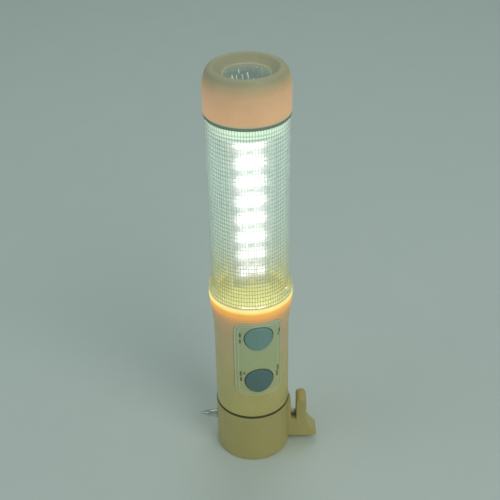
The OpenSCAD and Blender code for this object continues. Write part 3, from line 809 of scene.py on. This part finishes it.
def rounded_outline(half_w, z0, z1, corner):
    """Rounded rectangle of (x, z), with points close enough to bend round the handle."""
    across, along, bend = 12, 16, 8
    x, top, foot = half_w - corner, z1 - corner, z0 + corner
    corners = [arc(cx, cz, corner, a0, a0 + 90, bend)
               for cx, cz, a0 in ((x, top, 0), (-x, top, 90), (-x, foot, 180), (x, foot, 270))]
    out = []
    for i, corner_points in enumerate(corners):
        out += corner_points
        (xa, za), (xb, zb) = corner_points[-1], corners[(i + 1) % 4][0]
        steps = along if i % 2 else across
        out += [(xa + (xb - xa) * t, za + (zb - za) * t) for t in (k / steps for k in range(1, steps))]
    return out


def on_handle(x, z, grow):
    """The point of the handle's outside, grown by an amount, in front of (x, z)."""
    r = handle_radius(z) + grow
    return (x, -math.sqrt(r * r - x * x), z)


def panel_layers(relief, back_grow):
    """Closed plate, curved like the handle.

    relief is (step in, height) pairs from the rim inwards, and back_grow is the height of its back.
    Heights are over the handle's outside."""
    cz = (panel_z0 + panel_z1) / 2

    def shrunk(outline, scale, grow):
        return [on_handle(x * scale, cz + (z - cz) * scale, grow) for x, z in outline]

    outlines = [rounded_outline(panel_half_w - step_in, panel_z0 + step_in, panel_z1 - step_in,
                                panel_corner - step_in) for step_in, _ in relief]
    rings = [shrunk(outline, 1.0, grow) for outline, (_, grow) in zip(outlines, relief)]
    rings += [shrunk(outlines[-1], scale, relief[-1][1]) for scale in (0.85, 0.7, 0.55, 0.4, 0.25, 0.1)]
    front_count = len(rings)
    rings += [shrunk(outlines[0], scale, back_grow) for scale in (0.1, 0.4, 0.7, 1.0)]
    n = len(outlines[0])
    verts = [v for ring in rings for v in ring]
    faces = []

    def bridge(a, b):
        faces.extend([a * n + k, a * n + (k + 1) % n, b * n + (k + 1) % n, b * n + k] for k in range(n))

    for i in range(front_count - 1):
        bridge(i, i + 1)
    faces.append([(front_count - 1) * n + k for k in range(n)])
    for i in range(front_count, len(rings) - 1):
        bridge(i, i + 1)
    faces.append([front_count * n + k for k in range(n)])
    bridge(len(rings) - 1, 0)
    return verts, faces


def front_cylinder(name, r, z, depth0, depth1):
    """A cylinder along the way a button moves."""
    sides = 96
    rod = lathe(name, [(0, depth0), (r, depth0), (r, depth1), (0, depth1)], sides, 50.0)
    return turned(rod, Matrix.Translation((0, 0, z * MM)) @ Matrix.Rotation(math.pi / 2, 4, "X"))


def build_handle():
    """Tapered grip with a flared lip on top, a threaded neck below, and a recess for the switch panel."""
    base_z = seal_z1 + 0.05
    straight_z, flare_h, flare_steps = 78.0, 25.0, 30
    heights = [straight_z + flare_h * i / flare_steps for i in range(flare_steps + 1)]
    profile = [(neck_bore_r, neck_z), (neck_r - 0.3, neck_z), (neck_r, neck_z + 0.3), (neck_r, seal_z0)]
    profile += [(seal_seat_r - 0.15, seal_z0), (seal_seat_r, seal_z0 + 0.15), (seal_seat_r, base_z)]
    profile += [(handle_r - 0.3, base_z), (handle_r, base_z + 0.3)]
    profile += [(handle_r, base_z + 2 + (74.0 - base_z) * i / 10) for i in range(11)]
    profile += [(handle_radius(z), z) for z in heights]
    profile += arc(lip_r - 0.9, lip_z - 0.9, 0.9, 0, 90, 8)
    profile += [(seat_r, lip_z), (seat_r, seat_z), (handle_bore_r, seat_z), (handle_bore_r, 37.7)]
    profile += [(neck_bore_r, 36.0)]
    shell = lathe("handle_body", profile, 224, 30.0)

    recess_floor, well_r = -0.95, 8.9
    verts, faces = panel_layers([(-0.1, 3.0), (-0.05, 3.0)], recess_floor)
    shell = cut(shell, facing(make_object("recess", verts, faces)))
    for z in button_z.values():
        shell = cut(shell, facing(front_cylinder("well", well_r, z, 12.0, 25.0)), 28.0)
    ridge = thread_ridge("handle_thread", neck_r - 0.3, thread_crest_r, thread_z, 0, 810)
    handle = join("handle_body", [shell, ridge])
    coat(handle, handle_paint())
    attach(handle, "handle")
    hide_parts("handle_shell")


def handle_paint():
    """Peach plastic, with painted shade making it greener towards the cap. The lip glows with painted
    light: yellow at its edge, orange below.
    """
    p = moulded("handle_plastic", peach, 0.40, 0.1, 0.12, Subsurface_Weight=0.12, Subsurface_Scale=0.003,
                Subsurface_Radius=(1.0, 0.55, 0.25), Coat_Weight=0.1, Coat_Roughness=0.3)
    # Painted shade: greener and darker towards the cap, where the lamps' light through the plastic doesn't
    # reach. The yellow just under the lip is painted light.
    p.tint(p.blend_stops(p.span(p.axis("Z"), seal_z1 * MM, lip_z * MM), [
        (0.0, (0.72, 0.92, 0.62)), (0.35, (0.80, 0.98, 0.82)), (0.65, (0.94, 1.0, 1.04)),
        (0.84, (1.0, 0.98, 1.0)), (0.93, (1.0, 0.92, 0.62)), (1.0, (1.0, 1.0, 0.9))]))
    # Painted light: the lip's glow, fading out some way below it.
    glow_h = 21.0
    rise = p.span(p.axis("Z"), (lip_z - glow_h) * MM, lip_z * MM)
    below_lip = [(glow_h, (0.0, 0.0, 0.0)), (12.0, (0.07, 0.018, 0.004)), (8.5, (0.24, 0.07, 0.01)),
                 (6.0, (0.60, 0.18, 0.0)), (4.2, (0.67, 0.22, 0.0)), (3.4, (0.75, 0.45, 0.05)),
                 (2.6, (0.80, 0.76, 0.20)), (0.9, (0.82, 0.78, 0.30)), (0.5, (0.40, 0.36, 0.10)),
                 (0.0, (0.12, 0.11, 0.03))]
    glow = p.blend_stops(rise, [(1 - below / glow_h, colour) for below, colour in below_lip])
    p.glow(glow, p.span(p.noise(45.0, 2.0, 0.5, (1.0, 1.0, 0.3)), 0.3, 0.7, 0.8, 1.1), 0.85)
    return p


def build_panel():
    """Inset plate with two fine raised lines inside its rim, and a hole for each button."""
    h = panel_proud
    low_face = h - 0.22
    relief = [(0.0, h - 0.35), (0.05, h - 0.1), (0.2, h), (0.8, h), (0.95, low_face), (1.7, low_face),
              (1.85, h - 0.04), (2.3, h - 0.04), (2.45, low_face + 0.05), (2.8, low_face + 0.05)]
    raised = (2, 6)
    verts, faces = panel_layers(relief, h - 1.2)
    round_count = len(rounded_outline(panel_half_w, panel_z0, panel_z1, panel_corner))
    zones = [1 if k // round_count in raised else 0 for k in range(len(faces))]
    plate = facing(make_object("switch_plate", verts, faces, 25.0, zones))
    for z in button_z.values():
        plate = cut(plate, facing(front_cylinder("hole", button_r + 0.4, z, 12.0, 25.0)), 25.0)
    # The raised lines take a lighter copy of the plastic: a painted highlight.
    for name, colour in (("panel_plastic", (0.68, 0.68, 0.42)), ("panel_ridge_highlight", (0.86, 0.84, 0.58))):
        p = moulded(name, colour, 0.36, 0.05, Coat_Weight=0.15, Coat_Roughness=0.2)
        rise = p.span(p.axis("Z"), panel_z0 * MM, panel_z1 * MM)
        p.tint(p.blend_stops(rise, [
            (0.0, (0.92, 0.90, 0.72)), (0.5, (0.86, 0.96, 0.82)), (1.0, (0.92, 1.0, 1.05))]))
        coat(plate, p)
    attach(plate, "handle")
    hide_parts("switch_panel")


def build_marks():
    """Plain printed strokes and a dot beside the buttons."""
    # Across, height, half height and half width of each
    strokes = [(-9.6, 87.0, 1.5, 0.45), (-9.6, 82.8, 1.4, 0.4), (11.3, 86.4, 1.3, 0.55),
               (10.6, 84.3, 0.6, 0.45), (-9.6, 61.6, 1.5, 0.5), (-9.5, 57.8, 1.4, 0.45),
               (10.4, 62.2, 1.7, 0.45), (10.0, 58.4, 2.0, 0.45), (-7.8, 62.0, 0.6, 0.6)]
    ink_depth = 0.25
    marks = []
    for i, (x, z, half_h, half_w) in enumerate(strokes):
        outline = arc(x, z + half_h - half_w, half_w, 0, 180, 6)
        outline += arc(x, z - half_h + half_w, half_w, 180, 360, 6)
        n = len(outline)
        verts = [on_handle(a, b, panel_proud) for a, b in outline]
        verts += [on_handle(a, b, panel_proud - ink_depth) for a, b in outline]
        faces = [list(range(n)), list(range(2 * n - 1, n - 1, -1))]
        faces += [[k, (k + 1) % n, n + (k + 1) % n, n + k] for k in range(n)]
        marks.append(make_object(f"mark_{i}", verts, faces))
    print_ink = facing(join("panel_marks", marks))
    coat(print_ink, moulded("print_ink", (0.22, 0.23, 0.13), 0.5, 0.05))
    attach(print_ink, "handle")


def build_button(which):
    """Soft cap with rounded edges, whose face follows the handle, on a flange and a stem."""
    z0 = button_z[which]
    sides, face_rings, edge_rings = 96, 9, 6
    skin = panel_proud + button_proud
    edge = 0.9
    flange_r, flange_t = 8.6, 1.0
    stem_r, stem_t = 1.7, 0.3
    turns = [math.tau * a / sides for a in range(sides)]
    rings = [((button_r - edge) * i / face_rings, skin) for i in range(1, face_rings + 1)]
    for i in range(1, edge_rings + 1):
        t = math.radians(90 * i / edge_rings)
        rings.append((button_r - edge + edge * math.sin(t), skin - edge + edge * math.cos(t)))
    inner = [(button_r, button_foot + flange_t), (flange_r, button_foot + flange_t),
             (flange_r, button_foot), (stem_r, button_foot), (stem_r, button_foot - stem_t)]
    verts = [on_handle(0, z0, skin)]
    for rho, grow in rings:
        verts += [on_handle(rho * math.cos(a), z0 + rho * math.sin(a), grow) for a in turns]
    for r, depth in inner:
        verts += [(r * math.cos(a), -depth, z0 + r * math.sin(a)) for a in turns]
    faces = [[0, 1 + a, 1 + (a + 1) % sides] for a in range(sides)]
    last = 1 + (len(rings) + len(inner) - 1) * sides
    for i in range(1, last, sides):
        faces += [[i + a, i + (a + 1) % sides, i + sides + (a + 1) % sides, i + sides + a]
                  for a in range(sides)]
    faces.append([last + a for a in range(sides)])
    cap = facing(make_object(f"soft_button_{which}", verts, faces, 40.0))
    colour = {"upper": (0.25, 0.42, 0.39), "lower": (0.135, 0.235, 0.235)}[which]
    coat(cap, moulded(f"button_{which}_rubber", colour, 0.55, 0.25))
    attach(cap, f"button_{which}")
    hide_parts(f"button_{which}")


# ---------------------------------------------------------------- base cap

def hook_outline():
    """Foot, flared heel, finger, slot, and the rib up the side of the cap."""
    finger_x0, finger_x1, foot_z = slot_x1, slot_x1 + 5.6, 3.5
    heel_z, flare_r, flare_top = 7.6, 12.3, 17.5
    sweep = math.degrees(math.asin((flare_top - heel_z) / flare_r))
    toe_r, heel_r, tip_r = 1.6, 2.3, 2.6
    wall_x0, thread_x0, thread_z0 = cap_r - 3.0, cap_r - 1.55, 20.5
    out = [(wall_x0, foot_z)]
    out += arc(hook_end - toe_r, foot_z + toe_r, toe_r, -90, 0, 8)
    out += arc(hook_end - heel_r, heel_z - heel_r, heel_r, 0, 62, 6)
    out += arc(finger_x1 + flare_r, flare_top, flare_r, 178 + sweep, 180, 14)
    out += arc(finger_x1 - tip_r, finger_top - tip_r, tip_r, 0, 90, 10)
    out += arc(finger_x0 + tip_r, finger_top - tip_r, tip_r, 90, 180, 10)
    out += [(finger_x0, slot_z), (slot_x0, slot_z), (slot_x0, finger_top - 4)]
    out += [(cap_r - 0.6, finger_top - 2.6), (thread_x0, finger_top - 2.6)]
    out += [(thread_x0, thread_z0 + 0.1), (wall_x0, thread_z0 - 1.5)]
    return out


def build_cap():
    """Threaded cup with a recess for the magnet under it, and the belt cutter's hook on its side."""
    floor_z, bore_r, thread_r, thread_z0 = 6.0, 16.2, 18.4, 20.5
    recess_r, recess_z = 12.55, 3.2
    profile = [(0, recess_z), (recess_r, recess_z), (recess_r, 0.25), (recess_r + 0.25, 0)]
    profile += arc(cap_r - 1.2, 1.2, 1.2, -90, 0, 8)
    profile += [(cap_r, 3 + (cap_top - 4) * i / 8) for i in range(9)]
    profile += arc(cap_r - 0.4, cap_top - 0.4, 0.4, 0, 90, 4)
    profile += [(thread_r, cap_top), (thread_r, thread_z0), (bore_r, thread_z0), (bore_r, floor_z)]
    profile += [(0, floor_z)]
    shell = lathe("cap_shell", profile, 224, 30.0)

    gap = 0.1
    slit_z, slit_half_t = 9.0, 0.35
    slit = [(cap_r - 0.9, slit_z - gap), (slot_x1 + 2.6 + gap, slit_z - gap)]
    slit += [(slot_x1 + 2.6 + gap, slot_z + 1.4 + gap), (slot_x1 - 0.2, slot_z + 2.4 + gap)]
    slit += [(slot_x0 + 0.2, slot_z + 5.4 + gap), (cap_r - 0.9, slot_z + 5.5)]
    hook = cut(slab("hook", hook_outline(), hook_half_t, 0.8), slab("slit", slit, slit_half_t), 40.0)
    ridge = thread_ridge("cap_thread", thread_r + 0.3, 17.5, thread_z + thread_pitch / 2, 90, 900)
    cap = join("cap_body", [shell, hook, ridge])

    # Painted shade: the cap's colour is a darkened copy of the body's peach.
    p = moulded("cap_plastic", peach_cap_in_painted_shade, 0.42, 0.1, 0.22, Subsurface_Weight=0.08, Subsurface_Scale=0.003,
                Subsurface_Radius=(1.0, 0.6, 0.3))
    coat(cap, p)
    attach(cap, "base_cap")
    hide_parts("base_cap")


def build_hammer():
    """Turned steel point on a short shank."""
    z = (low("hammer_tip").z + high("hammer_tip").z) / 2
    r = 2.0
    root = -high("hammer_tip").x
    profile = [(0, root), (r, root), (r, cap_r + 0.1), (r + 0.4, cap_r + 0.1), (r + 0.5, cap_r + 0.25)]
    profile += [(r + 0.5, cap_r + 1.2), (r + 0.35, cap_r + 1.4), (r, cap_r + 1.6), (r, cap_r + 4.9)]
    profile += [(r - 0.05, cap_r + 5.1), (0.55, hammer_end - 0.55)]
    profile += [(0.45, hammer_end - 0.25), (0.25, hammer_end - 0.06), (0, hammer_end)]
    tip = lathe("steel_point", profile, 96, 25.0)
    turned(tip, Matrix.Translation((0, 0, z * MM)) @ Matrix.Rotation(-math.pi / 2, 4, "Y"))
    p = metal("ground_steel", (0.62, 0.66, 0.64), 0.22, (0.05, 1.0, 1.0))
    coat(tip, p)
    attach(tip, "base_cap")
    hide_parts("hammer_tip")


def build_blade():
    """Thin plate, ground to a sharp edge where it crosses the slot."""
    lo, hi = low("cutter_blade"), high("cutter_blade")
    half_t = (hi.y - lo.y) / 2
    outline = [(lo.x, lo.z), (hi.x, lo.z), (hi.x, slot_z + 1.4), (slot_x1 - 0.2, slot_z + 2.4),
               (slot_x0 + 0.2, slot_z + 5.4), (lo.x, slot_z + 5.4)]
    ground = [(lo.x, lo.z), (hi.x, lo.z), (hi.x, slot_z + 0.2), (slot_x1 - 0.7, slot_z + 1.2),
              (slot_x0 - 0.5, slot_z + 4.4), (lo.x, slot_z + 4.4)]
    n = len(outline)
    verts = [(x, -half_t, z) for x, z in ground] + [(x, half_t, z) for x, z in ground]
    verts += [(x, 0, z) for x, z in outline[2:]]
    edge = [2 * n + k for k in range(n - 2)]
    faces = [list(range(n)), list(range(2 * n - 1, n - 1, -1)), [0, n, n + 1, 1],
             [1, n + 1, n + 2, edge[0], 2], [0, 5, edge[3], n + 5, n]]
    for k in range(n - 3):
        faces.append([2 + k, edge[k], edge[k + 1], 3 + k])
        faces.append([n + 2 + k, n + 3 + k, edge[k + 1], edge[k]])
    blade = make_object("ground_blade", verts, faces, 15.0)
    p = metal("blade_steel", (0.60, 0.63, 0.64), 0.18, (0.05, 1.0, 1.0))
    coat(blade, p)
    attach(blade, "base_cap")
    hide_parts("cutter_blade")


# ---------------------------------------------------------------- inner parts keep their CAD shapes

def board_paint(name, mask, bare):
    """Circuit board: solder mask over a pattern of tracks."""
    p = Paint(name, 0.32)
    tracks = p.node("ShaderNodeTexBrick", {"Vector": p.where, "Scale": 160.0, "Mortar Size": 0.03,
                                           "Color1": (*mask, 1.0), "Color2": (*shade(mask, 1.1), 1.0),
                                           "Mortar": (*bare, 1.0)})
    p.set("Base Color", tracks.outputs["Color"])
    p.bump(tracks.outputs["Fac"], 0.1, 0.00005)
    return p


def lamp_board_paint():
    """The lamps' own board, with their light painted on as a glow: brightest round each row of lamps, and
    dim at its sides and its foot.
    """
    p = board_paint("white_board_mask", (0.86, 0.86, 0.80), (0.70, 0.70, 0.66))
    strip_half_w, dark_half_w = 2.0, 8.8
    foot_z, strip_z, full_z = 110.5, 114.5, 115.0
    beside = p.span(p.math("ABSOLUTE", p.across()), strip_half_w * MM, dark_half_w * MM, 1.0, 0.10)
    at_foot = p.math("MULTIPLY", p.span(p.axis("Z"), foot_z * MM, strip_z * MM, 0.12, 1.0),
                     p.span(p.axis("Z"), full_z * MM, lamp_full_z * MM, 0.72, 1.0))
    mid = (low("led_lamps").z + high("led_lamps").z) / 2
    from_row = p.math("SUBTRACT", p.axis("Z"), (mid - lamp_pitch / 2) * MM)
    place = p.math("FRACT", p.math("DIVIDE", from_row, lamp_pitch * MM))
    from_gap = p.math("ABSOLUTE", p.math("SUBTRACT", place, 0.5))
    by_row = p.math("MULTIPLY", at_foot, p.span(from_gap, 0.16, 0.34, 0.42, 1.0))
    p.glow(p.mix(p.noise(200.0), (1.0, 0.88, 0.96), (1.0, 0.90, 0.97)),
           p.math("MULTIPLY", beside, by_row), 1.6)
    return p


def resistor_paint():
    """Pale ceramic, with the lamps' glare painted on as a glow."""
    p = moulded("resistor_ceramic", (0.75, 0.78, 0.74), 0.35, 0.05)
    p.glow(p.mix(p.noise(300.0), (0.85, 1.0, 0.9), (1.0, 1.0, 0.95)), p.span(p.front(), 0.003, 0.005), 0.5)
    return p


def lit_plastic_paint():
    """White plastic inside the tube, with painted light: yellow near the handle and paler above."""
    p = moulded("lit_white_plastic", (0.85, 0.87, 0.80), 0.45, 0.08)
    along = p.span(p.axis("Z"), tube_z0 * MM, tube_z1 * MM)
    p.glow(p.blend_stops(along, [(0.0, (0.50, 0.48, 0.16)), (0.12, (0.44, 0.43, 0.18)),
                                 (0.3, (0.26, 0.30, 0.22)), (0.95, (0.34, 0.42, 0.34))]),
           p.span(p.front(), -0.012, 0.012, 0.35, 1.0), 0.8)
    return p


def lens_seal_paint():
    """Pale silicone under the lens, with the light through the lens painted on as a glow."""
    p = moulded("pale_silicone", (0.50, 0.54, 0.48), 0.5, 0.1)
    p.glow(p.mix(p.noise(200.0), (0.40, 0.47, 0.38), (0.46, 0.53, 0.44)),
           p.span(p.noise(90.0), 0.3, 0.7, 0.8, 1.0), 0.6)
    return p


def dress_inner_parts():
    by_slot = {
        "plated_steel": metal("plated_steel", (0.72, 0.72, 0.69), 0.22),
        "magnet": metal("magnet_plating", (0.55, 0.55, 0.53), 0.3, (1.0, 1.0, 1.0)),
        "contact_brass": metal("contact_brass", (0.80, 0.60, 0.28), 0.25),
        "foam": moulded("foam", (0.03, 0.03, 0.032), 0.95, 0.8),
        "dark_plastic": moulded("dark_plastic", (0.035, 0.035, 0.04), 0.5, 0.15),
        "white_plastic": moulded("white_plastic", (0.85, 0.85, 0.80), 0.45, 0.08),
        "cell_jacket": moulded("cell_jacket", (0.05, 0.07, 0.11), 0.28, 0.03, 0.1, Coat_Weight=0.6),
        "red_wire": moulded("red_wire", (0.45, 0.02, 0.02), 0.4, 0.08),
        "black_wire": moulded("black_wire", (0.02, 0.02, 0.02), 0.4, 0.08),
        "torch_lamp": moulded("torch_dome", (0.95, 0.78, 0.18), 0.15, 0.02, Coat_Weight=1.0),
        "circuit_board": board_paint("circuit_board_mask", (0.02, 0.14, 0.06), (0.06, 0.28, 0.13)),
        "white_board": lamp_board_paint(),
    }
    lit = lit_plastic_paint()
    by_node = {"led_resistors": resistor_paint(), "lens_seal": lens_seal_paint(),
               "lower_bulkhead": lit, "upper_bulkhead": lit, "board_spine": lit}
    slots = {s["node"]: s["material_slot"] for s in frame["record"]["subparts"]}
    for name, obj in frame["nodes"].items():
        if obj.hide_render:
            continue
        look = by_node[name] if name in by_node else by_slot[slots[name]]
        for s in obj.material_slots:
            s.material = look.mat


set_camera()
set_studio()
build_head()
build_reflector()
build_lens()
build_tube()
build_lamps()
# The head ring's rubber is given a lighter grey-green than black: painted light from the glowing tube
# beside it.
build_seal("head_ring", "head_seal_ring", "handle", ring_r, ring_z0 + 0.02, ring_z1 - 0.02,
           tube_bore_r + 0.1, (0.30, 0.37, 0.28))
build_seal("cap_ring", "cap_seal_ring", "cap_seal", seal_r, seal_z0 + 0.01, seal_z1 - 0.01,
           thread_crest_r + 0.3, (0.075, 0.085, 0.025))
build_handle()
build_panel()
build_marks()
for button in button_z:
    build_button(button)
build_cap()
build_hammer()
build_blade()
dress_inner_parts()
